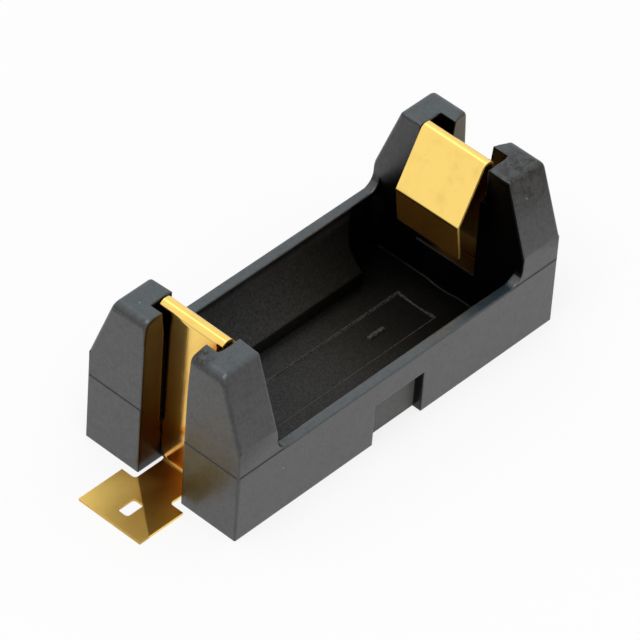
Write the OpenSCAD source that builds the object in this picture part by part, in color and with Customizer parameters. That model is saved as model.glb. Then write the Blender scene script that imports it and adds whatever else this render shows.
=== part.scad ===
// Surface-mount holder for one small cylindrical cell: a moulded trough with
// a split post pair at each end, and two folded sheet-metal spring contacts.
// Millimetres, +Z up, standing on z = 0, middle of the trough at the origin.

/* [Cell] */
// Diameter of the cell held
cell_d = 15.6; // [12:0.1:19]
// Air between the cell and the trough all round
cell_gap = 0.2; // [0.1:0.05:0.5]

/* [Trough] */
// Length of the cavity between the end walls
cavity_l = 30.5; // [24:0.1:40]
// Side wall thickness where the trough is widest
wall_t = 0.85; // [0.6:0.05:2]
// Floor thickness under the cell
floor_t = 0.8; // [0.6:0.05:2]
// Height of the side wall rim, which is also the mould parting height
rim_h = 7.2; // [5:0.1:9]
// Radius that sweeps each rim up into the posts
rim_sweep_r = 1.5; // [0.5:0.1:3]
// Width of the flat floor between the feet of the saddles
foot_w = 9.9; // [6:0.1:12]
// Length of the curved saddles along their feet
saddle_l = 20.6; // [14:0.1:26]
// How much further each saddle end reaches at the rim
saddle_flare = 1.3; // [0:0.1:2]
// Height up to which the saddle ends stand upright
saddle_upright_h = 4.2; // [1:0.1:6]
// Width of the end pockets
pocket_w = 15.8; // [12:0.1:17]
// Radius of the upright corners inside the end pockets
pocket_corner_r = 1; // [0.3:0.1:2]

/* [Posts] */
// Thickness of each end, from the cavity to the end face
end_t = 4.65; // [3.5:0.1:7]
// Height at which the posts start to lean in
knee_h = 10; // [8:0.1:12]
// Top of the posts
post_h = 17; // [14:0.1:20]
// Width over the posts at their top
post_top_w = 12.6; // [10:0.1:16]
// Radius of the edge between the end faces and the post tops
crown_r = 0.8; // [0.3:0.1:2]
// Width of the pocket the contact fold stands in
fold_pocket_w = 7.8; // [6.8:0.1:9]
// Depth below the post tops of the ledge that the contact shoulders stand over
ledge_drop = 3.8; // [2.5:0.1:6]
// Width of the narrower well below that ledge
well_w = 6.8; // [5.4:0.1:7.6]
// Width of the slot left open between the outer lips
slot_w = 5.1; // [4.4:0.1:6.4]
// Thickness of the outer lips
lip_t = 2.4; // [1:0.1:3]
// Height of the sill between the cavity and the contact leg
sill_h = 4.4; // [2:0.1:6]
// Lead-in chamfer along the top of the fold pocket
lead_in = 0.1; // [0.1:0.05:0.8]
// Depth of the longer lead-in at the lips, where the sheet is pushed down
lip_lead = 0.3; // [0.1:0.05:0.6]
// Height of that lead-in at the lips
lip_lead_h = 2.4; // [1:0.1:3.5]

/* [Mould details] */
// Draft of the outer faces over the height of the rim, each side
draft = 0.05; // [0:0.01:0.3]
// Step at the parting line between the two mould halves
parting_step = 0.05; // [0:0.01:0.1]
// Radius of the upright outer corners
corner_r = 0.3; // [0.1:0.05:0.8]
// Length of the sunk panel in the floor
panel_l = 24; // [10:0.1:26]
// Width of the sunk panel in the floor
panel_w = 4.4; // [2:0.1:8]
// Depth of the sunk panel in the floor
panel_d = 0.2; // [0.05:0.05:0.4]
// Length of the raised dash on the sunk panel
dash_l = 2; // [1:0.1:4]
// Width of the raised dash
dash_w = 0.35; // [0.2:0.05:0.8]
// Distance of the raised dash from the middle
dash_x = 6.8; // [0:0.1:10]

/* [Side reliefs] */
// Width of the relief low in each long side
relief_w = 6.1; // [4:0.1:12]
// Height of the relief
relief_h = 4.6; // [2:0.1:6]
// Depth of the relief
relief_d = 1; // [0.3:0.05:1.5]
// Slant of the relief ceiling over its depth
relief_slant = 0.5; // [0.1:0.05:1]

/* [Contacts] */
// Sheet thickness
sheet_t = 0.25; // [0.15:0.05:0.4]
// Width of the leaf, the fold and the solder tab
strip_w = 7.2; // [6:0.1:8.4]
// Width of the leg
leg_w = 4.8; // [3:0.1:5]
// Width of the neck out to the tab
neck_w = 4.1; // [3:0.1:5]
// Height over which the leg widens above the neck
flare_h = 0.6; // [0.2:0.1:2]
// Inside radius of the bends
bend_r = 0.4; // [0.2:0.05:1]
// Height above the sill of the bend where the leg starts to lean in
lean_over = 0.4; // [0.3:0.1:2]
// Radius of that bend
lean_r = 8; // [2:0.5:12]
// Lean of the right leg in degrees
lean_right = 4.23; // [1:0.1:6]
// Lean of the left leg in degrees, seated with a little less play
lean_left = 0.59; // [0.3:0.1:6]
// How far the right fold stands over the posts
fold_over_right = 0.5; // [0:0.1:2]
// How far the left fold stands over the posts
fold_over_left = 0.2; // [0:0.1:2]
// Length of the fold, from the leg to where the leaf turns down
fold_l = 1; // [1:0.05:4]
// Reach of the leaf knee in from the leg
knee_in = 4.2; // [2:0.05:7]
// Height of the leaf knee above the lean bend
knee_rise = 7.3; // [4:0.05:10]
// Reach of the lower leaf edge in from the leg
leaf_end_in = 3.95; // [2:0.05:7]
// Height of the lower leaf edge above the lean bend
leaf_end_rise = 3.5; // [1:0.05:6]
// Neck left bare between the end face and the solder tab
neck_bare = 0.8; // [0.2:0.05:2]
// Length of the solder tab
tab_l = 5.15; // [3:0.05:7]
// Distance of the middle of the tab slot from the inner edge of the tab
tab_slot_x = 2.75; // [2:0.05:3.5]
// Length of the slot through the tab
tab_slot_l = 2; // [1:0.1:3]
// Width of the slot through the tab
tab_slot_w = 1.2; // [0.5:0.05:2]
// Sideways offset of the slot through the tab
tab_slot_y = 0.15; // [0:0.05:0.5]
// Corner radius of the slot through the tab
tab_slot_r = 0.3; // [0.1:0.05:0.5]
// Radius where the neck and leg meet the wider sheet
shoulder_r = 0.35; // [0.1:0.05:0.6]
// Height of the leg barbs above the board
barb_z = 1.7; // [1:0.1:3]
// Length of each leg barb
barb_l = 1.2; // [0.5:0.1:2]
// Air between the barb tips and the slot walls
barb_gap = 0.02; // [0:0.01:0.1]

/* [Hidden] */
$fn = 64;
eps = 0.01;
trough_r = cell_d/2 + cell_gap;
cell_z = floor_t + cell_d/2;
body_w = 2*(trough_r + wall_t);
body_l = cavity_l + 2*end_t;
half_l = body_l/2;
half_w = body_w/2;
half_cavity = cavity_l/2;
upper_l = half_l - parting_step;
upper_w = half_w - parting_step;
over = post_h + 2;
lip_x = half_l - lip_t;
leg_gap = 0.3;
ledge_z = post_h - ledge_drop;
ledge_gap = 0.2;
leg_out = lip_x - leg_gap;
leg_in = leg_out - sheet_t;
leg_mid = leg_out - sheet_t/2;
bend_mid_r = bend_r + sheet_t/2;
tab_x0 = half_l + neck_bare;
tab_x1 = tab_x0 + tab_l;
leg_foot = sheet_t + bend_r;
lap = 0.2;
weld = 0.01;
lean_z = sill_h + lean_over;
lean_run = 0.6;
foot_x = leg_out + bend_r;

// ---- shared shapes ----

// A plan outline with rounded corners
module rounded_plan(l, w, r) {
    square([l - 2*r, w], center = true);
    square([l, w - 2*r], center = true);
    for (sx = [-1, 1], sy = [-1, 1])
        translate([sx*(l/2 - r), sy*(w/2 - r)]) circle(r);
}

// Extrudes an outline drawn in x and z across the part, w wide
module across(w) {
    rotate([90, 0, 0]) linear_extrude(height = w, center = true) children();
}

// Extrudes an outline drawn in y and z along the part, l long
module along(l) {
    rotate([90, 0, 90]) linear_extrude(height = l, center = true) children();
}

// The quarter-round fillet that fills an inside corner at the origin
module inside_fillet(r) {
    difference() {
        square(r);
        translate([r, r]) circle(r);
    }
}

// ---- housing ----

// Cross-section over the body and the leaning post sides
module body_section() {
    half = [[0, 0], [half_w - draft, 0], [half_w, rim_h], [upper_w, rim_h],
            [upper_w - draft/2, knee_h], [post_top_w/2, post_h], [0, post_h]];
    polygon(half);
    mirror([1, 0]) polygon(half);
}

// Long profile over the body with the rounded crowns of the posts
module body_profile() {
    difference() {
        polygon([[-(half_l - draft), 0], [half_l - draft, 0], [half_l, rim_h],
                 [upper_l, rim_h], [upper_l - draft, post_h],
                 [-(upper_l - draft), post_h], [-upper_l, rim_h],
                 [-half_l, rim_h]]);
        for (s = [-1, 1])
            translate([s*(upper_l - draft), post_h])
                difference() {
                    square(2*crown_r, center = true);
                    translate([-s*crown_r, -crown_r]) circle(crown_r);
                    translate([-s*2*crown_r, -crown_r])
                        square([2*crown_r, 2*crown_r], center = true);
                    translate([-s*crown_r, -2*crown_r])
                        square([2*crown_r, 2*crown_r], center = true);
                }
    }
}

module body_block() {
    intersection() {
        along(2*body_l) body_section();
        across(2*body_w) body_profile();
        linear_extrude(height = over) rounded_plan(body_l, body_w, corner_r);
    }
}

// The opening between the posts, swept up at both ends of the rims
module window_profile() {
    translate([-half_cavity, rim_h + rim_sweep_r]) square([cavity_l, over]);
    translate([-half_cavity + rim_sweep_r, rim_h])
        square([cavity_l - 2*rim_sweep_r, over]);
    for (s = [-1, 1])
        translate([s*(half_cavity - rim_sweep_r), rim_h + rim_sweep_r])
            circle(rim_sweep_r);
}

// What the cell lies in: a round trough over a flat channel
module trough_section() {
    translate([0, cell_z]) circle(trough_r);
    translate([-foot_w/2, floor_t]) square([foot_w, cell_z]);
}

// Deep pocket beyond each saddle, where the leaf swings
module end_pocket_profile() {
    x0 = saddle_l/2;
    polygon([[x0, floor_t], [half_cavity, floor_t], [half_cavity, over],
             [x0 + saddle_flare, over], [x0 + saddle_flare, rim_h],
             [x0, saddle_upright_h]]);
}

module end_pockets() {
    intersection() {
        linear_extrude(height = over)
            rounded_plan(cavity_l, pocket_w, pocket_corner_r);
        across(body_w) {
            end_pocket_profile();
            mirror([1, 0]) end_pocket_profile();
        }
    }
}

// Fold pocket, outer slot and lead-ins of the +X end
module contact_seat() {
    translate([half_cavity - eps, -fold_pocket_w/2, ledge_z])
        cube([lip_x - half_cavity + eps, fold_pocket_w, over]);
    translate([half_cavity - eps, -well_w/2, sill_h])
        cube([lip_x - half_cavity + eps, well_w, over]);
    translate([0, fold_pocket_w/2, 0]) rotate([90, 0, 0])
        linear_extrude(height = fold_pocket_w)
            polygon([[lip_x - eps, post_h - lip_lead_h], [lip_x, post_h - lip_lead_h],
                     [lip_x + 2*lip_lead, post_h + lip_lead_h],
                     [lip_x - eps, post_h + lip_lead_h]]);
    translate([leg_in, -slot_w/2, -eps]) cube([end_t, slot_w, over]);
    translate([half_cavity - eps, 0, post_h - lead_in])
        rotate([90, 0, 90]) linear_extrude(height = lip_x - half_cavity + eps)
            polygon([[-fold_pocket_w/2, 0], [fold_pocket_w/2, 0],
                     [fold_pocket_w/2 + 2*lead_in, 2*lead_in],
                     [-fold_pocket_w/2 - 2*lead_in, 2*lead_in]]);
}

// Relief low in the +Y side, open to the board and slanted at its ceiling
module side_relief() {
    translate([-relief_w/2, 0, 0]) rotate([90, 0, 90])
        linear_extrude(height = relief_w)
            polygon([[half_w - relief_d, -eps], [half_w + 1, -eps],
                     [half_w + 1, relief_h + relief_slant/2],
                     [half_w, relief_h],
                     [half_w - relief_d, relief_h - relief_slant]]);
}

module housing() {
    color([0.13, 0.13, 0.14]) {
        difference() {
            body_block();
            across(2*body_w) window_profile();
            along(cavity_l) trough_section();
            end_pockets();
            translate([0, 0, floor_t])
                cube([panel_l, panel_w, 2*panel_d], center = true);
            for (a = [0, 180]) rotate([0, 0, a]) {
                contact_seat();
                side_relief();
            }
        }
        translate([dash_x, 0, floor_t - panel_d/2])
            cube([dash_l, dash_w, panel_d], center = true);
    }
}

// ---- contacts ----

function unit(v) = v/norm(v);
function cross2(a, b) = a[0]*b[1] - a[1]*b[0];
function reach(d1, d2, r) = r*tan(acos(d1*d2)/2);

// Sheet seen on edge: straight runs between the corners of a path, with each
// inner corner turned into a true bend of centre-line radius r
module folded(path, r, t) {
    last = len(path) - 1;
    dir = [for (i = [0:last - 1]) unit(path[i + 1] - path[i])];
    cut = [for (i = [0:last]) i == 0 || i == last ? 0 : reach(dir[i - 1], dir[i], r)];
    for (i = [0:last - 1]) {
        run = norm(path[i + 1] - path[i]) - cut[i] - cut[i + 1];
        bent_in = i == 0 ? 0 : weld;
        bent_out = i == last - 1 ? 0 : weld;
        translate(path[i] + dir[i]*cut[i])
            rotate(atan2(dir[i][1], dir[i][0]))
                translate([-bent_in, -t/2])
                    square([run + bent_in + bent_out, t]);
    }
    for (i = [1:last - 1]) {
        side = sign(cross2(dir[i - 1], dir[i]));
        a = path[i] - dir[i - 1]*cut[i];
        b = path[i] + dir[i]*cut[i];
        c = a + side*r*[-dir[i - 1][1], dir[i - 1][0]];
        intersection() {
            translate(c) difference() {
                circle(r + t/2);
                circle(r - t/2);
            }
            polygon([c, c + 2*(a - c), c + 2*(path[i] - c), c + 2*(b - c)]);
        }
    }
}

// Flat tab with its slot, and the neck back to the foot of the leg
module tab_plan() {
    difference() {
        union() {
            translate([tab_x0, -strip_w/2]) square([tab_l, strip_w]);
            translate([foot_x, -neck_w/2]) square([tab_x0 - foot_x, neck_w]);
            for (s = [-1, 1])
                translate([tab_x0, s*neck_w/2])
                    rotate(135 - 45*s) inside_fillet(shoulder_r);
        }
        translate([tab_x0 + tab_slot_x, tab_slot_y])
            rounded_plan(tab_slot_l, tab_slot_w, tab_slot_r);
    }
}

// Upright foot of the leg face on: widens above the neck, barbs at its sides
module foot_face() {
    barb_y = slot_w/2 - barb_gap;
    wide_z = leg_foot + flare_h;
    for (s = [-1, 1])
        polygon([[0, leg_foot], [s*neck_w/2, leg_foot], [s*leg_w/2, wide_z],
                 [s*leg_w/2, barb_z], [s*barb_y, barb_z + barb_l],
                 [s*leg_w/2, barb_z + barb_l], [s*leg_w/2, lean_z - lean_run + lap],
                 [0, lean_z - lean_run + lap]]);
}

// Leaning part of the leg face on, with the shoulders under the fold
module shaft_face(shoulder_rise) {
    translate([-leg_w/2, lean_run - weld])
        square([leg_w, shoulder_rise + lap - lean_run + weld]);
    for (s = [-1, 1])
        translate([s*leg_w/2, shoulder_rise])
            rotate(225 + 45*s) inside_fillet(shoulder_r);
}

// The +X contact with its leg leaning in by an angle and its fold standing
// over the posts; the other one is formed alike and turned half round
module contact(lean, fold_over) {
    fold_rise = post_h + fold_over - lean_z;
    fold_mid = fold_rise - sheet_t/2;
    shoulder_rise = ledge_z + ledge_gap - lean_z;
    linear_extrude(height = sheet_t) tab_plan();
    across(neck_w) folded([[foot_x + lap, sheet_t/2], [leg_mid, sheet_t/2],
                           [leg_mid, leg_foot + lap]], bend_mid_r, sheet_t);
    translate([leg_in, 0, 0]) rotate([90, 0, 90])
        linear_extrude(height = sheet_t) foot_face();
    across(leg_w) folded([[leg_mid, lean_z - lean_run], [leg_mid, lean_z],
                          [leg_mid - lean_run*sin(lean), lean_z + lean_run*cos(lean)]],
                         lean_r, sheet_t);
    translate([leg_mid, 0, lean_z]) rotate([0, -lean, 0]) {
        translate([-sheet_t/2, 0, 0]) rotate([90, 0, 90])
            linear_extrude(height = sheet_t) shaft_face(shoulder_rise);
        across(strip_w) folded([[0, shoulder_rise], [0, fold_mid],
                                [-fold_l, fold_mid], [-knee_in, knee_rise],
                                [-leaf_end_in, leaf_end_rise]],
                               bend_mid_r, sheet_t);
    }
}

module contact_right() {
    color([0.86, 0.68, 0.30]) contact(lean_right, fold_over_right);
}

module contact_left() {
    color([0.86, 0.68, 0.30]) rotate([0, 0, 180]) contact(lean_left, fold_over_left);
}

housing();
contact_left();
contact_right();
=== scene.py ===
"""Looks of a cell holder: a black moulded trough with two gold-plated springs."""

import math
from functools import reduce

import bmesh
import bpy
from bpy.props import FloatProperty, FloatVectorProperty, PointerProperty
from mathutils import Matrix, Vector


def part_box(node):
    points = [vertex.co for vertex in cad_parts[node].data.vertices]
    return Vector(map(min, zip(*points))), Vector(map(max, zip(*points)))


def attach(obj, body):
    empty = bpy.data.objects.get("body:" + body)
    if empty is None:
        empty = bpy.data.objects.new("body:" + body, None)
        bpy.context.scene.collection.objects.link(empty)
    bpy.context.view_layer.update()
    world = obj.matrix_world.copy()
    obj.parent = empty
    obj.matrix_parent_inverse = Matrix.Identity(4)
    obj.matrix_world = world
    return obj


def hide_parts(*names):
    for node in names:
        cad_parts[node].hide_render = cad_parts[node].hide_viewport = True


bl_info = {
    "name": "Cylindrical Cell Holder",
    "version": (1, 0, 0),
    "blender": (4, 5, 0),
    "location": "View3D > Sidebar > Cell Holder",
    "description": "Dresses a cell holder's moulding and spring contacts",
    "category": "Object",
}

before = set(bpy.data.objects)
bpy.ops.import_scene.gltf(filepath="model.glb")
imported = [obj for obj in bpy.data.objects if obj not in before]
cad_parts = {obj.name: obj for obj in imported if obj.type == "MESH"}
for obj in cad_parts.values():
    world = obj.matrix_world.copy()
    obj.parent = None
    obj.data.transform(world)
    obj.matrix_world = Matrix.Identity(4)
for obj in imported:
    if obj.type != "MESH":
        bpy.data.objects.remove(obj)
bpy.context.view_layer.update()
MM = 0.001
BLACK = (0, 0, 0)
WHITE = (1, 1, 1)

# The moulding's reach from its middle to an end and to a side, and its height
END, SIDE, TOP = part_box("housing")[1]

# Places on the moulding, measured from its middle: what lies in the trough, the
# sunk panel in its floor and the raised dash, and the sides of the slots at the ends
TROUGH_END = 15.1 * MM
TROUGH_SIDE = 7.9 * MM
PANEL_END = 12 * MM
PANEL_SIDE = 2.2 * MM
DASH_X = 6.8 * MM
JAMB_SIDE = 2.7 * MM
JAMB_END = 16.9 * MM

# The part of the side reliefs' backs that gets painted light, a paler colour
RECESS_END = 4 * MM
RECESS_SIDE = 8 * MM
RECESS_TOP = 3.6 * MM
RECESS_LIGHT = (0.065, 0.065, 0.065)

# How strongly the dust, the specks and the painted shade along the parting line show
DUST_SHARE = 0.4
SPECK_SHARE = 0.6
PARTING_SHARE = 0.75
PARTING_SHADE = (0.004, 0.004, 0.004)
PLASTIC_IOR = 1.8

# Centre and reach of the rubbed patches on the posts, in millimetres
RUBS = (((17.6, -6.2, 16.2), 4.4), ((-18.9, -3.2, 17.2), 1.7))

# The slanting line at which a tab turns from shiny to satin: a point on it, and
# the direction across it, away from the moulding
TAB_X = 20.4 * MM
TAB_Y = -2.0 * MM
TAB_OUT = (0.791, -0.612)

# Places on the posts, in millimetres
KNEE_Z = 10
END_WALL_X = 15.25
CROWN_Y = 5.9
POCKET_Y = 3.9
SLOT_Y = (2.5, 2.6)
NARROW_SLOT_Y = 2.2

# Boxes that hold the corner points of a post's knee and of the right end's lips
KNEE_BOX = ((19.7, 19.88), (8.6, 8.85), (9.97, 10.14))
LIP_BOX = ((17.4, 17.9), SLOT_Y, (14, 18))

# The points of a leg that are moved out: at least this far from the middle, and
# between the sill and the shoulders
LEG_EDGE = 2.3 * MM
LEG_FOOT = 4.6 * MM
LEG_TOP = 13.45 * MM

# Bends in degrees: the least that is rounded, the least that shades sharp, and the
# most that counts as flat
ROUNDED_BEND = 25
SHARP_BEND = 24
FLAT_BEND = 0.3

# The camera's azimuth, elevation and roll in degrees, its place and its lens
CAMERA_TURN = (-49.532, 42.851, 4.262)
CAMERA_PLACE = (-0.28218, -0.24012, 0.35028)
CAMERA_LENS = 333.65

# The floor's half length and its depth below the part, and the distances over which
# its mirrored glow fades
FLOOR_REACH = 6
FLOOR_DROP = 0.02 * MM
FLOOR_FADE = (0.035, 0.09)
FLOOR_FAR_GLOW = 0.6

# The lamp's place, size and power
LAMP_PLACE = (-0.16, -0.05, 0.5)
LAMP_SIZE = 0.35
LAMP_POWER = 1.2

# The bright patch overhead: its direction, the cosines where it starts and is full
PATCH_DIRECTION = (0.25, 0.45, 0.857)
PATCH_COSINES = (0.96, 0.988)
PATCH_STRENGTH = 0.7


def colour(name, description, default):
    return FloatVectorProperty(
        name=name,
        description=description,
        default=default,
        subtype="COLOR",
        size=3,
        min=0,
        max=1,
    )


def length(name, description, default):
    return FloatProperty(
        name=name,
        description=description,
        default=default,
        min=0,
        unit="LENGTH",
        subtype="DISTANCE",
        precision=5,
    )


def share(name, description, default):
    return FloatProperty(
        name=name, description=description, default=default, min=0, max=1
    )


class MouldingSettings(bpy.types.PropertyGroup):
    base: colour("Plastic", "Colour of the moulded plastic", (0.0012, 0.0012, 0.0012))
    # Painted sheen: a bluish lightening painted on the faces that look up
    painted_sheen: colour(
        "Painted sheen", "Colour of the bluish bloom on faces that look up", (0.012, 0.024, 0.03)
    )
    # Painted highlight on the ridge round the floor panel and on the dash
    highlit: colour("Highlit", "Colour of the worn ridges of the floor", (0.065, 0.065, 0.062))
    # Painted reflection of the gold contacts on the slots' sides, low and high
    jamb_low: colour("Jamb low", "Sheen of the slots' sides at the foot", (0.34, 0.16, 0.15))
    jamb_high: colour("Jamb high", "Sheen of the slots' sides at the top", (0.95, 0.7, 0.25))
    rubbed: colour("Rubbed", "Colour of the rubbed patches", (0.012, 0.009, 0.006))
    speck: colour("Specks", "Colour of the pale specks", (0.32, 0.32, 0.31))
    roughness: share("Roughness", "Roughness of the moulded surface", 0.3)
    grain: length("Grain", "Size of the moulded grain", 0.16 * MM)
    parting_height: length("Parting", "Height of the mould parting line", 7.2 * MM)
    parting_width: length("Parting line", "Width of the parting line", 0.11 * MM)
    edge: length("Edge", "Radius at which the moulded edges catch light", 0.32 * MM)
    rounding: length("Rounding", "Radius of the posts' outer edges", 0.32 * MM)


class SpringSettings(bpy.types.PropertyGroup):
    plating: colour("Plating", "Colour of the gold plating", (0.98, 0.69, 0.19))
    tarnish: colour("Tarnish", "Colour of the darker plating", (0.62, 0.34, 0.07))
    deep: colour("Deep", "Colour of the plating where little light gets in", (0.62, 0.17, 0.0))
    roughness: share("Roughness", "Roughness of the plated sheet", 0.13)
    satin: share("Satin", "Roughness of the satin outer part of the tabs", 0.48)
    streak: length("Streak", "Width of the rolling streaks", 0.09 * MM)
    edge: length("Edge", "Radius of the sheet's edges", 0.05 * MM)
    left_leg: length("Left leg", "Width of the left leg above the sill", 5.1 * MM)
    right_leg: length("Right leg", "Width of the right leg above the sill", 5.9 * MM)


class StageSettings(bpy.types.PropertyGroup):
    floor: colour("Floor", "Colour of the floor", (0.82, 0.82, 0.82))
    shadow: share("Shadow", "Share of the floor's own shading that shows", 0.22)


def settings(context):
    scene = context.scene
    return scene.holder_moulding, scene.holder_springs, scene.holder_stage


class Nodes:
    """Builds one node tree; a number, a colour or a socket can feed an input."""

    def __init__(self, tree):
        self.tree = tree
        tree.nodes.clear()

    def add(self, kind, inputs=None, **props):
        node = self.tree.nodes.new(kind)
        for name, value in props.items():
            setattr(node, name, value)
        for name, value in (inputs or {}).items():
            self.feed(node.inputs[name], value)
        return node

    def feed(self, socket, value):
        if isinstance(value, bpy.types.NodeSocket):
            self.tree.links.new(value, socket)
        else:
            socket.default_value = value

    def math(self, operation, a, b=0.0, c=0.0):
        return self.add("ShaderNodeMath", {0: a, 1: b, 2: c}, operation=operation).outputs[0]

    def vector(self, operation, a, b=(0, 0, 0)):
        """A vector operation that gives one number."""
        return self.add(
            "ShaderNodeVectorMath", {0: a, 1: b}, operation=operation
        ).outputs["Value"]

    def times(self, *factors):
        return reduce(lambda a, b: self.math("MULTIPLY", a, b), factors)

    def most(self, *values):
        return reduce(lambda a, b: self.math("MAXIMUM", a, b), values)

    def plus(self, base, mask, by):
        """Adds by to base, as far as the mask goes."""
        return self.math("MULTIPLY_ADD", mask, by, base)

    def left(self, mask, by=1):
        """What is left of one after by is taken off, as far as the mask goes."""
        return self.plus(1, mask, -by)

    def size(self, value):
        return self.math("ABSOLUTE", value)

    def apart(self, a, b):
        return self.size(self.math("SUBTRACT", a, b))

    def below(self, value, limit):
        return self.math("LESS_THAN", value, limit)

    def above(self, value, limit):
        return self.math("GREATER_THAN", value, limit)

    def ramp(self, value, low, high, out_low=0.0, out_high=1.0):
        """Maps value from low..high to out_low..out_high, held at both ends."""
        node = self.add(
            "ShaderNodeMapRange",
            {0: value, 1: low, 2: high, 3: out_low, 4: out_high},
            interpolation_type="SMOOTHSTEP",
        )
        return node.outputs[0]

    def fade(self, value, full, gone):
        """Falls from one where value is full to nothing where it is gone."""
        return self.ramp(value, full, gone, 1, 0)

    def around(self, middle, reach, value, low, high):
        """Maps value from low..high to middle give or take reach."""
        return self.ramp(value, low, high, middle - reach, middle + reach)

    def mix(self, factor, a, b):
        node = self.add("ShaderNodeMix", {"Factor": factor}, data_type="RGBA")
        for socket, value in ((node.inputs[6], a), (node.inputs[7], b)):
            if not isinstance(value, bpy.types.NodeSocket):
                value = (*value, 1)
            self.feed(socket, value)
        return node.outputs[2]

    def noise(self, vector, size, detail=2.0, roughness=0.5):
        inputs = {"Vector": vector, "Scale": 1 / size, "Detail": detail, "Roughness": roughness}
        return self.add("ShaderNodeTexNoise", inputs).outputs["Fac"]

    def axes(self, vector):
        node = self.add("ShaderNodeSeparateXYZ", {0: vector})
        return [node.outputs[i] for i in range(3)]

    def seen(self):
        """The light path's outputs, and whether a ray shows the background."""
        rays = self.add("ShaderNodeLightPath").outputs
        mirrored = self.most(rays["Is Glossy Ray"], rays["Is Transmission Ray"])
        return rays, self.most(rays["Is Camera Ray"], mirrored)


class Finish(Nodes):
    """A material's tree that knows where a point lies and which way it faces."""

    def __init__(self, name):
        self.material = bpy.data.materials.new(name)
        self.material.use_nodes = True
        super().__init__(self.material.node_tree)
        self.place = self.add("ShaderNodeTexCoord").outputs["Object"]
        self.x, self.y, self.z = self.axes(self.place)
        normal = self.add("ShaderNodeNewGeometry").outputs["Normal"]
        self.faces_x, self.faces_y, self.faces_z = self.axes(normal)

    def open_air(self, reach):
        """How much of the space within reach of a point is free."""
        return self.add(
            "ShaderNodeAmbientOcclusion", {"Distance": reach}, samples=8
        ).outputs["AO"]

    def close(self, inputs, edge, samples, height, strength, depth):
        """Ends the tree in one shader, with its edges rounded and its skin bumped."""
        rounded = self.add("ShaderNodeBevel", {"Radius": edge}, samples=samples).outputs[0]
        bumped = self.add(
            "ShaderNodeBump",
            {"Strength": strength, "Distance": depth, "Height": height, "Normal": rounded},
        ).outputs[0]
        shader = self.add("ShaderNodeBsdfPrincipled", {**inputs, "Normal": bumped})
        self.add("ShaderNodeOutputMaterial", {"Surface": shader.outputs[0]})
        return self.material


def painted_sheen_mask(n, cfg, mottle):
    """Painted sheen: lightens the faces that look up, above the parting line, unevenly."""
    uneven = n.ramp(mottle, 0.2, 0.8, 0.75, 1)
    above_line = n.ramp(n.z, cfg.parting_height - 0.4 * MM, cfg.parting_height)
    return n.times(n.ramp(n.faces_z, 0.55, 0.98), uneven, above_line)


def rub_mask(n):
    """Round patches on two posts, broken up by a noise."""
    patches = []
    for centre, reach in RUBS:
        away = n.vector("DISTANCE", n.place, Vector(centre) * MM)
        patches.append(n.fade(away, 0.2 * reach * MM, reach * MM))
    broken = n.ramp(n.noise(n.place, 0.8 * MM, 4, 0.65), 0.4, 0.6, 0.35, 1)
    return n.times(n.most(*patches), broken)


def dust_mask(n, rub):
    """Fine dust on the rubbed patches, mostly on what looks up."""
    grains = n.ramp(n.noise(n.place, 0.15 * MM, 2, 0.6), 0.58, 0.7)
    return n.times(grains, rub, n.ramp(n.faces_z, 0.3, 0.8, 0.25, 1))


def speck_mask(n):
    """A small dot in the middle of a few cells."""
    cells = n.add("ShaderNodeTexVoronoi", {"Vector": n.place, "Scale": 1 / (1.3 * MM)})
    chance = n.add("ShaderNodeSeparateColor", {0: cells.outputs["Color"]}).outputs[0]
    return n.times(n.fade(cells.outputs["Distance"], 0.035, 0.075), n.above(chance, 0.955))


def parting_shade_mask(n, cfg):
    """Painted shade along the step of the parting line, on the outer sides and ends."""
    outside = n.most(
        n.above(n.size(n.y), SIDE - 0.25 * MM), n.above(n.size(n.x), END - 0.3 * MM)
    )
    off_line = n.apart(n.z, cfg.parting_height)
    line = n.fade(off_line, 0.35 * cfg.parting_width, cfg.parting_width)
    return n.times(line, outside, n.fade(n.faces_z, 0.5, 0.8))


def trough_mask(n):
    """What lies in the trough, below the rims."""
    return n.times(
        n.below(n.size(n.y), TROUGH_SIDE),
        n.below(n.size(n.x), TROUGH_END),
        n.fade(n.z, 6.0 * MM, 7.1 * MM),
    )


def outward_mask(n):
    """Faces that look away from the middle."""
    return n.most(
        n.above(n.times(n.y, n.faces_y), 5 * MM),
        n.above(n.times(n.x, n.faces_x), END - 1.9 * MM),
    )


def light_reach(n, trough, outward):
    """Painted shade: falls where little light gets in: in corners, in the trough, more towards
    its right end, and behind the leaf.
    """
    clear = n.ramp(n.open_air(7 * MM), 0.3, 0.95, 0.12, 1)
    deep = n.times(trough, n.ramp(n.x, -2 * MM, 11 * MM, 0.38, 0.86))
    behind = n.times(
        n.below(n.faces_x, -0.7),
        n.above(n.x, 15 * MM),
        n.ramp(n.y, -3 * MM, 5 * MM, 0.9, 0.35),
    )
    return n.most(n.times(clear, n.left(deep), n.left(behind)), outward)


def recess_light_mask(n, outward):
    """Painted light: the backs of the reliefs low in the long sides are made paler."""
    return n.times(
        outward,
        n.below(n.size(n.y), RECESS_SIDE),
        n.below(n.z, RECESS_TOP),
        n.below(n.size(n.x), RECESS_END),
    )


def ridge_highlight_mask(n, trough):
    """Painted highlight along the ridge round the floor panel and on the dash on the panel,
    broken up by a noise.
    """
    off_panel = n.most(
        n.math("SUBTRACT", n.size(n.x), PANEL_END), n.math("SUBTRACT", n.size(n.y), PANEL_SIDE)
    )
    ridge = n.fade(n.size(off_panel), 0.03 * MM, 0.13 * MM)
    dash = n.times(
        n.fade(n.apart(n.x, DASH_X), 0.95 * MM, 1.1 * MM),
        n.fade(n.size(n.y), 0.15 * MM, 0.25 * MM),
    )
    patchy = n.ramp(n.noise(n.place, 0.28 * MM, 3, 0.7), 0.4, 0.6, 0.3, 1)
    return n.times(n.most(ridge, dash), patchy, n.below(n.z, 1 * MM), trough)


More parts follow.
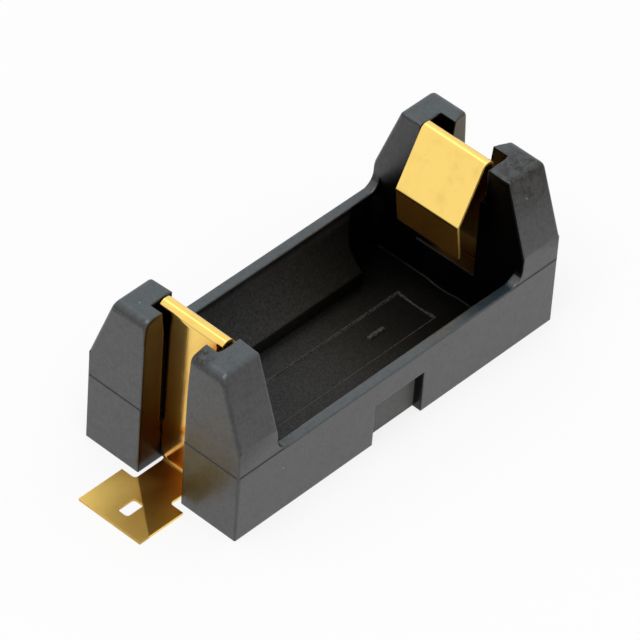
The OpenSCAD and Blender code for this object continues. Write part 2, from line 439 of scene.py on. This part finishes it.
def skin_gloss(n, trough, rub, clear):
    """How strongly the skin mirrors, uneven from a fine, a wide and a coarse noise, less on
    rubs, and dimmed by the painted shade where little light gets in.
    """
    fine = n.ramp(n.noise(n.place, 0.34 * MM, 3, 0.6), 0.3, 0.7, 0.82, 1.06)
    wide = n.ramp(n.noise(n.place, 1.1 * MM, 3, 0.55), 0.3, 0.7, 0.93, 1.05)
    coarse = n.ramp(n.noise(n.place, 0.2 * MM, 2, 0.7), 0.35, 0.65, -0.22, 0.22)
    return n.times(fine, wide, n.plus(1, coarse, trough), n.left(rub, 0.72), clear)


def sheen_tint(n, cfg, trough):
    """Painted reflection: tint of the mirrored light, warm beside the contacts, brownish in the
    trough.
    """
    jamb = n.times(
        n.below(n.size(n.y), JAMB_SIDE),
        n.above(n.size(n.faces_y), 0.8),
        n.above(n.size(n.x), JAMB_END),
    )
    warm = n.mix(n.ramp(n.z, 3 * MM, 16 * MM), cfg.jamb_low, cfg.jamb_high)
    brown = n.times(trough, n.ramp(n.x, -4 * MM, 8 * MM))
    return n.mix(jamb, n.mix(brown, WHITE, (1, 0.96, 0.8)), warm)


def moulding_material(cfg):
    """Black glass-filled plastic: fine grain, specks, rubs; a painted sheen on upward faces,
    painted shade at the parting line and where little light gets in, painted light on the
    reliefs' backs, a painted highlight on the floor's ridges.
    """
    n = Finish("moulded_plastic")
    mottle = n.noise(n.place, 2.4 * MM, 3)
    rub = rub_mask(n)
    trough = trough_mask(n)
    outward = outward_mask(n)
    clear = light_reach(n, trough, outward)

    # Painted sheen lightens the faces that look up
    tone = n.mix(painted_sheen_mask(n, cfg, mottle), cfg.base, cfg.painted_sheen)
    tone = n.mix(rub, tone, cfg.rubbed)
    tone = n.mix(n.times(dust_mask(n, rub), DUST_SHARE), tone, cfg.speck)
    tone = n.mix(n.times(speck_mask(n), SPECK_SHARE), tone, cfg.speck)
    # Painted shade darkens the step of the parting line
    tone = n.mix(n.times(parting_shade_mask(n, cfg), PARTING_SHARE), tone, PARTING_SHADE)
    # Painted shade: black where little light gets in
    tone = n.mix(clear, BLACK, tone)
    # Painted light makes the reliefs' backs paler
    tone = n.mix(recess_light_mask(n, outward), tone, RECESS_LIGHT)
    # Painted highlight on the floor panel's ridge and the dash
    tone = n.mix(ridge_highlight_mask(n, trough), tone, cfg.highlit)

    gloss = skin_gloss(n, trough, rub, clear)
    rough = n.around(cfg.roughness, 0.03, mottle, 0.25, 0.75)
    return n.close(
        {
            "Base Color": tone,
            "Roughness": n.plus(rough, trough, 0.42),
            "IOR": PLASTIC_IOR,
            # Painted reflection: the mirrored light is tinted
            "Specular Tint": n.mix(gloss, BLACK, sheen_tint(n, cfg, trough)),
        },
        edge=cfg.edge,
        samples=6,
        height=n.noise(n.place, cfg.grain, 2, 0.6),
        strength=0.6,
        depth=0.03 * MM,
    )


def cut_edge_mask(n):
    """The sheet's sheared edges, on the strip and round the tabs."""
    tab_edge = n.times(n.below(n.size(n.faces_z), 0.4), n.below(n.z, 0.4 * MM))
    return n.most(n.ramp(n.size(n.faces_y), 0.8, 0.95), tab_edge)


def plating_light(n, under, cut_edge):
    """Painted shade: falls where little light gets in, but not on the tabs and the cut edges.
    """
    clear = n.times(n.ramp(n.open_air(6 * MM), 0.3, 0.92), n.left(under, 0.85))
    tucked = n.times(n.fade(n.faces_z, -0.02, 0.1), n.below(n.size(n.x), 14.9 * MM))
    low = n.ramp(n.z, 1.2 * MM, 4 * MM, 0.35, 0)
    return n.most(n.times(clear, n.left(tucked, 0.6)), low, cut_edge)


def satin_mask(n):
    """The outer part of each tab, past a slanting line; the ends are turned alike."""
    end = n.math("SIGN", n.x)
    out_x = n.math("MULTIPLY_ADD", n.x, end, -TAB_X)
    out_y = n.math("MULTIPLY_ADD", n.y, end, -TAB_Y)
    past = n.math("ADD", n.times(out_x, TAB_OUT[0]), n.times(out_y, TAB_OUT[1]))
    return n.ramp(past, -0.08 * MM, 0.1 * MM)


def tab_shade(n, satin):
    """Painted shade: how far the tabs are darkened, on their satin part and on their shiny
    part.
    """
    flat = n.times(n.ramp(n.faces_z, 0.5, 0.9), n.fade(n.z, 0.4 * MM, 1.2 * MM))
    outer = n.times(satin, n.ramp(n.y, -3 * MM, 3 * MM, 0.36, 0.18))
    return n.plus(outer, n.times(flat, n.left(satin)), 0.5)


def spring_material(cfg):
    """Gold-plated sheet: rolling streaks along the strip, fine scuffing, dark spots, and
    painted shade where little light gets in and on the tabs.
    """
    n = Finish("gold_plated_sheet")
    rolled = n.add(
        "ShaderNodeMapping", {0: n.place, 3: (0.02, 1, 0.02)}, vector_type="POINT"
    ).outputs[0]
    streak = n.noise(rolled, cfg.streak, 3, 0.6)
    cloud = n.noise(n.place, 1.8 * MM, 4, 0.6)
    spots = n.noise(n.place, 0.35 * MM, 2)
    under = n.fade(n.faces_z, -0.35, 0)
    cut_edge = cut_edge_mask(n)
    satin = satin_mask(n)

    tone = n.mix(n.ramp(cloud, 0.45, 0.8, 0, 0.22), cfg.plating, cfg.tarnish)
    tone = n.mix(n.ramp(spots, 0.7, 0.78, 0, 0.35), tone, cfg.tarnish)
    # Painted shade: deep red where little light gets in
    tone = n.mix(plating_light(n, under, cut_edge), cfg.deep, tone)
    # Painted shade darkens the tabs
    tone = n.mix(tab_shade(n, satin), tone, BLACK)

    rough = n.around(cfg.roughness, 0.03, streak, 0.3, 0.7)
    rough = n.math("ADD", rough, n.ramp(cloud, 0.5, 0.8, 0, 0.06))
    rough = n.plus(n.times(rough, n.left(satin)), satin, cfg.satin)
    rough = n.plus(rough, cut_edge, 0.36)
    rough = n.plus(rough, under, 0.22)
    rough = n.most(rough, n.ramp(n.z, 0.4 * MM, 0.7 * MM, 0.3, 0))

    return n.close(
        {
            "Base Color": tone,
            "Metallic": n.left(under, 0.22),
            "Roughness": rough,
            "Anisotropic": 0.35,
        },
        edge=cfg.edge,
        samples=4,
        height=n.plus(n.noise(rolled, 1.1 * MM, 2), streak, 0.25),
        strength=0.12,
        depth=0.01 * MM,
    )


def join_flat(bm):
    """Joins the triangles of each flat face."""
    bmesh.ops.dissolve_limit(
        bm, angle_limit=math.radians(FLAT_BEND), verts=bm.verts, edges=bm.edges
    )


def within(spot, box):
    return all(low < value < high for value, (low, high) in zip(spot, box))


def on_crown(edge):
    """Tells whether an edge is one of the posts' edges that are rounded."""
    ends = [vert.co / MM for vert in edge.verts]
    if any(ends[0][axis] * ends[1][axis] < 0 for axis in (0, 1)):
        return False
    spots = [(abs(x), abs(y), z) for x, y, z in ends]
    top = TOP / MM
    outer = all(x > END_WALL_X - 0.25 and y > CROWN_Y and z > KNEE_Z - 0.1 for x, y, z in spots)
    inner = all(x < END_WALL_X + 0.05 and y > POCKET_Y and z > top - 0.1 for x, y, z in spots)
    lip = all(
        x > END / MM - 1 and SLOT_Y[0] < y < SLOT_Y[1] and z > top - 0.9 for x, y, z in spots
    )
    return outer or inner or lip


def merge_knee_corners(bm):
    """Brings the points at each post's knee corner together at the highest one."""
    for x, y in ((-1, -1), (-1, 1), (1, -1), (1, 1)):
        corner = [
            vert
            for vert in bm.verts
            if within((x * vert.co.x / MM, y * vert.co.y / MM, vert.co.z / MM), KNEE_BOX)
        ]
        if not corner:
            raise RuntimeError("a post has no knee corner")
        highest = max(corner, key=lambda vert: vert.co.z).co.copy()
        bmesh.ops.pointmerge(bm, verts=corner, merge_co=highest)


def round_posts(bm, radius):
    """Rounds the edges of the posts' crowns and narrows the right end's slot."""
    join_flat(bm)
    merge_knee_corners(bm)
    crown = [vert for vert in bm.verts if vert.co.z > TOP - 1 * MM]
    bmesh.ops.remove_doubles(bm, verts=crown, dist=0.02 * MM)
    join_flat(bm)
    for vert in bm.verts:
        x, y, z = vert.co / MM
        if within((x, abs(y), z), LIP_BOX):
            vert.co.y = math.copysign(NARROW_SLOT_Y * MM, y)
    picked = [
        edge
        for edge in bm.edges
        if edge.is_convex
        and edge.calc_face_angle(0) > math.radians(ROUNDED_BEND)
        and on_crown(edge)
    ]
    bmesh.ops.bevel(
        bm,
        geom=picked,
        offset=radius,
        offset_type="OFFSET",
        segments=4,
        profile=0.5,
        affect="EDGES",
        clamp_overlap=False,
        material=-1,
    )


def widen_leg(bm, half):
    """Lets the leg fill more of its well between the sill and the shoulders."""
    for vert in bm.verts:
        y, z = vert.co.y, vert.co.z
        if LEG_EDGE < abs(y) < half and LEG_FOOT < z < LEG_TOP:
            vert.co.y = math.copysign(half, y)


def smooth_fan(face, corner):
    """The faces round a corner that are joined to a face over smooth edges."""
    fan, found = [face], {face.index}
    for near in fan:
        for edge in near.edges:
            if corner in edge.verts and edge.smooth:
                for other in edge.link_faces:
                    if other.index not in found:
                        found.add(other.index)
                        fan.append(other)
    return fan


def weighted_normals(mesh):
    """Lets the large faces keep their own normal, so only the roundings shade."""
    bm = bmesh.new()
    bm.from_mesh(mesh)
    bm.faces.ensure_lookup_table()
    normals = []
    for face in bm.faces:
        for corner in face.loops:
            total = Vector()
            for near in smooth_fan(face, corner.vert):
                total += near.normal * near.calc_area() ** 2
            normals.append(total.normalized() if total.length else face.normal.copy())
    bm.free()
    mesh.normals_split_custom_set(normals)


def merged_copy(node, name, reshape):
    """A copy of a packed sub-part with its split corners joined again."""
    mesh = bpy.data.meshes.new(name)
    bm = bmesh.new()
    bm.from_mesh(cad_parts[node].data)
    bmesh.ops.remove_doubles(bm, verts=bm.verts, dist=0.0005 * MM)
    bmesh.ops.recalc_face_normals(bm, faces=bm.faces)
    reshape(bm)
    for face in bm.faces:
        face.smooth = True
    for edge in bm.edges:
        if len(edge.link_faces) == 2:
            edge.smooth = edge.calc_face_angle(0) < math.radians(SHARP_BEND)
    bm.to_mesh(mesh)
    bm.free()
    weighted_normals(mesh)
    made = bpy.data.objects.new(name, mesh)
    bpy.context.scene.collection.objects.link(made)
    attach(made, "root")
    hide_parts(node)
    return made


class HOLDER_OT_moulding(bpy.types.Operator):
    """Makes the moulded trough with its posts"""

    bl_idname = "holder.moulding"
    bl_label = "Moulding"

    def execute(self, context):
        cfg = settings(context)[0]
        made = merged_copy(
            "housing", "moulded_trough", lambda bm: round_posts(bm, cfg.rounding)
        )
        made.data.materials.append(moulding_material(cfg))
        return {"FINISHED"}


class HOLDER_OT_springs(bpy.types.Operator):
    """Makes the two folded spring contacts"""

    bl_idname = "holder.springs"
    bl_label = "Spring contacts"

    def execute(self, context):
        cfg = settings(context)[1]
        sheet = spring_material(cfg)
        for side, width in (("left", cfg.left_leg), ("right", cfg.right_leg)):
            made = merged_copy(
                "contact_" + side, "spring_" + side, lambda bm, w=width: widen_leg(bm, w / 2)
            )
            made.data.materials.append(sheet)
        return {"FINISHED"}


class HOLDER_OT_stage(bpy.types.Operator):
    """Sets the floor, the light and the camera"""

    bl_idname = "holder.stage"
    bl_label = "Stage"

    def execute(self, context):
        cfg = settings(context)[2]
        self.make_floor(context.scene, cfg)
        self.make_sky(context.scene)
        self.make_lamp(context.scene)
        self.make_camera(context.scene)
        context.scene.view_settings.view_transform = "Standard"
        return {"FINISHED"}

    def make_floor(self, scene, cfg):
        bm = bmesh.new()
        bmesh.ops.create_grid(bm, x_segments=1, y_segments=1, size=FLOOR_REACH)
        bmesh.ops.translate(bm, verts=bm.verts, vec=(0, 0, -FLOOR_DROP))
        mesh = bpy.data.meshes.new("floor")
        bm.to_mesh(mesh)
        bm.free()
        made = bpy.data.objects.new("floor", mesh)
        scene.collection.objects.link(made)
        made.data.materials.append(self.floor_paint(cfg))

    def floor_paint(self, cfg):
        """Shows as a white background that keeps a share of the object's shadow."""
        n = Finish("pale_floor")
        rays, seen = n.seen()
        matte = n.add("ShaderNodeBsdfDiffuse", {"Color": (*cfg.floor, 1)})
        fall = n.ramp(n.vector("LENGTH", n.place), *FLOOR_FADE, 1, FLOOR_FAR_GLOW)
        level = n.most(rays["Is Camera Ray"], fall)
        glow = n.add("ShaderNodeEmission", {"Color": (1, 1, 1, 1), "Strength": level})
        shown = n.times(seen, 1 - cfg.shadow)
        both = n.add("ShaderNodeMixShader", {0: shown, 1: matte.outputs[0], 2: glow.outputs[0]})
        n.add("ShaderNodeOutputMaterial", {"Surface": both.outputs[0]})
        return n.material

    def make_sky(self, scene):
        """A plain sky that shows as white, with a bright patch that only glints see."""
        scene.world = bpy.data.worlds.new("studio")
        scene.world.use_nodes = True
        n = Nodes(scene.world.node_tree)
        rays, seen = n.seen()
        direction = n.add("ShaderNodeTexCoord").outputs["Generated"]
        cosine = n.vector("DOT_PRODUCT", direction, Vector(PATCH_DIRECTION))
        patch = n.ramp(cosine, *PATCH_COSINES, 0, PATCH_STRENGTH)
        strength = n.math("ADD", n.plus(0.8, seen, 0.2), n.times(patch, rays["Is Glossy Ray"]))
        sky = n.add("ShaderNodeBackground", {"Color": (1, 1, 1, 1), "Strength": strength})
        n.add("ShaderNodeOutputWorld", {"Surface": sky.outputs[0]})

    def make_lamp(self, scene):
        lamp = bpy.data.lights.new("softbox", "AREA")
        lamp.shape = "SQUARE"
        lamp.size = LAMP_SIZE
        lamp.energy = LAMP_POWER
        made = bpy.data.objects.new("softbox", lamp)
        made.location = LAMP_PLACE
        made.rotation_mode = "QUATERNION"
        made.rotation_quaternion = made.location.to_track_quat("Z", "Y")
        scene.collection.objects.link(made)

    def make_camera(self, scene):
        azimuth, elevation, roll = (math.radians(turn) for turn in CAMERA_TURN)
        back = Vector(
            (
                math.sin(azimuth) * math.cos(elevation),
                -math.cos(azimuth) * math.cos(elevation),
                math.sin(elevation),
            )
        )
        right = Vector((math.cos(azimuth), math.sin(azimuth), 0))
        up = back.cross(right)
        across = math.cos(roll) * right + math.sin(roll) * up
        above = math.cos(roll) * up - math.sin(roll) * right
        turn = Matrix((across, above, back)).transposed().to_4x4()
        data = bpy.data.cameras.new("camera")
        data.sensor_width = 36
        data.lens = CAMERA_LENS
        data.clip_start, data.clip_end = 0.01, 50
        camera = bpy.data.objects.new("camera", data)
        camera.matrix_world = Matrix.Translation(CAMERA_PLACE) @ turn
        scene.collection.objects.link(camera)
        scene.camera = camera


class HOLDER_PT_panel(bpy.types.Panel):
    """Lists the settings and the steps of the cell holder"""

    bl_idname = "HOLDER_PT_panel"
    bl_label = "Cell Holder"
    bl_space_type = "VIEW_3D"
    bl_region_type = "UI"
    bl_category = "Cell Holder"

    def draw(self, context):
        for group in settings(context):
            column = self.layout.column(align=True)
            for key in group.__annotations__:
                column.prop(group, key)
        for step in STEPS:
            self.layout.operator(step.bl_idname)


STEPS = (HOLDER_OT_moulding, HOLDER_OT_springs, HOLDER_OT_stage)
GROUPS = (MouldingSettings, SpringSettings, StageSettings)
CLASSES = (*GROUPS, *STEPS, HOLDER_PT_panel)


def register():
    for cls in CLASSES:
        bpy.utils.register_class(cls)
    bpy.types.Scene.holder_moulding = PointerProperty(type=MouldingSettings)
    bpy.types.Scene.holder_springs = PointerProperty(type=SpringSettings)
    bpy.types.Scene.holder_stage = PointerProperty(type=StageSettings)


def unregister():
    del bpy.types.Scene.holder_moulding
    del bpy.types.Scene.holder_springs
    del bpy.types.Scene.holder_stage
    for cls in reversed(CLASSES):
        bpy.utils.unregister_class(cls)


def main():
    register()
    bpy.ops.holder.moulding()
    bpy.ops.holder.springs()
    bpy.ops.holder.stage()


if __name__ == "__main__":
    main()
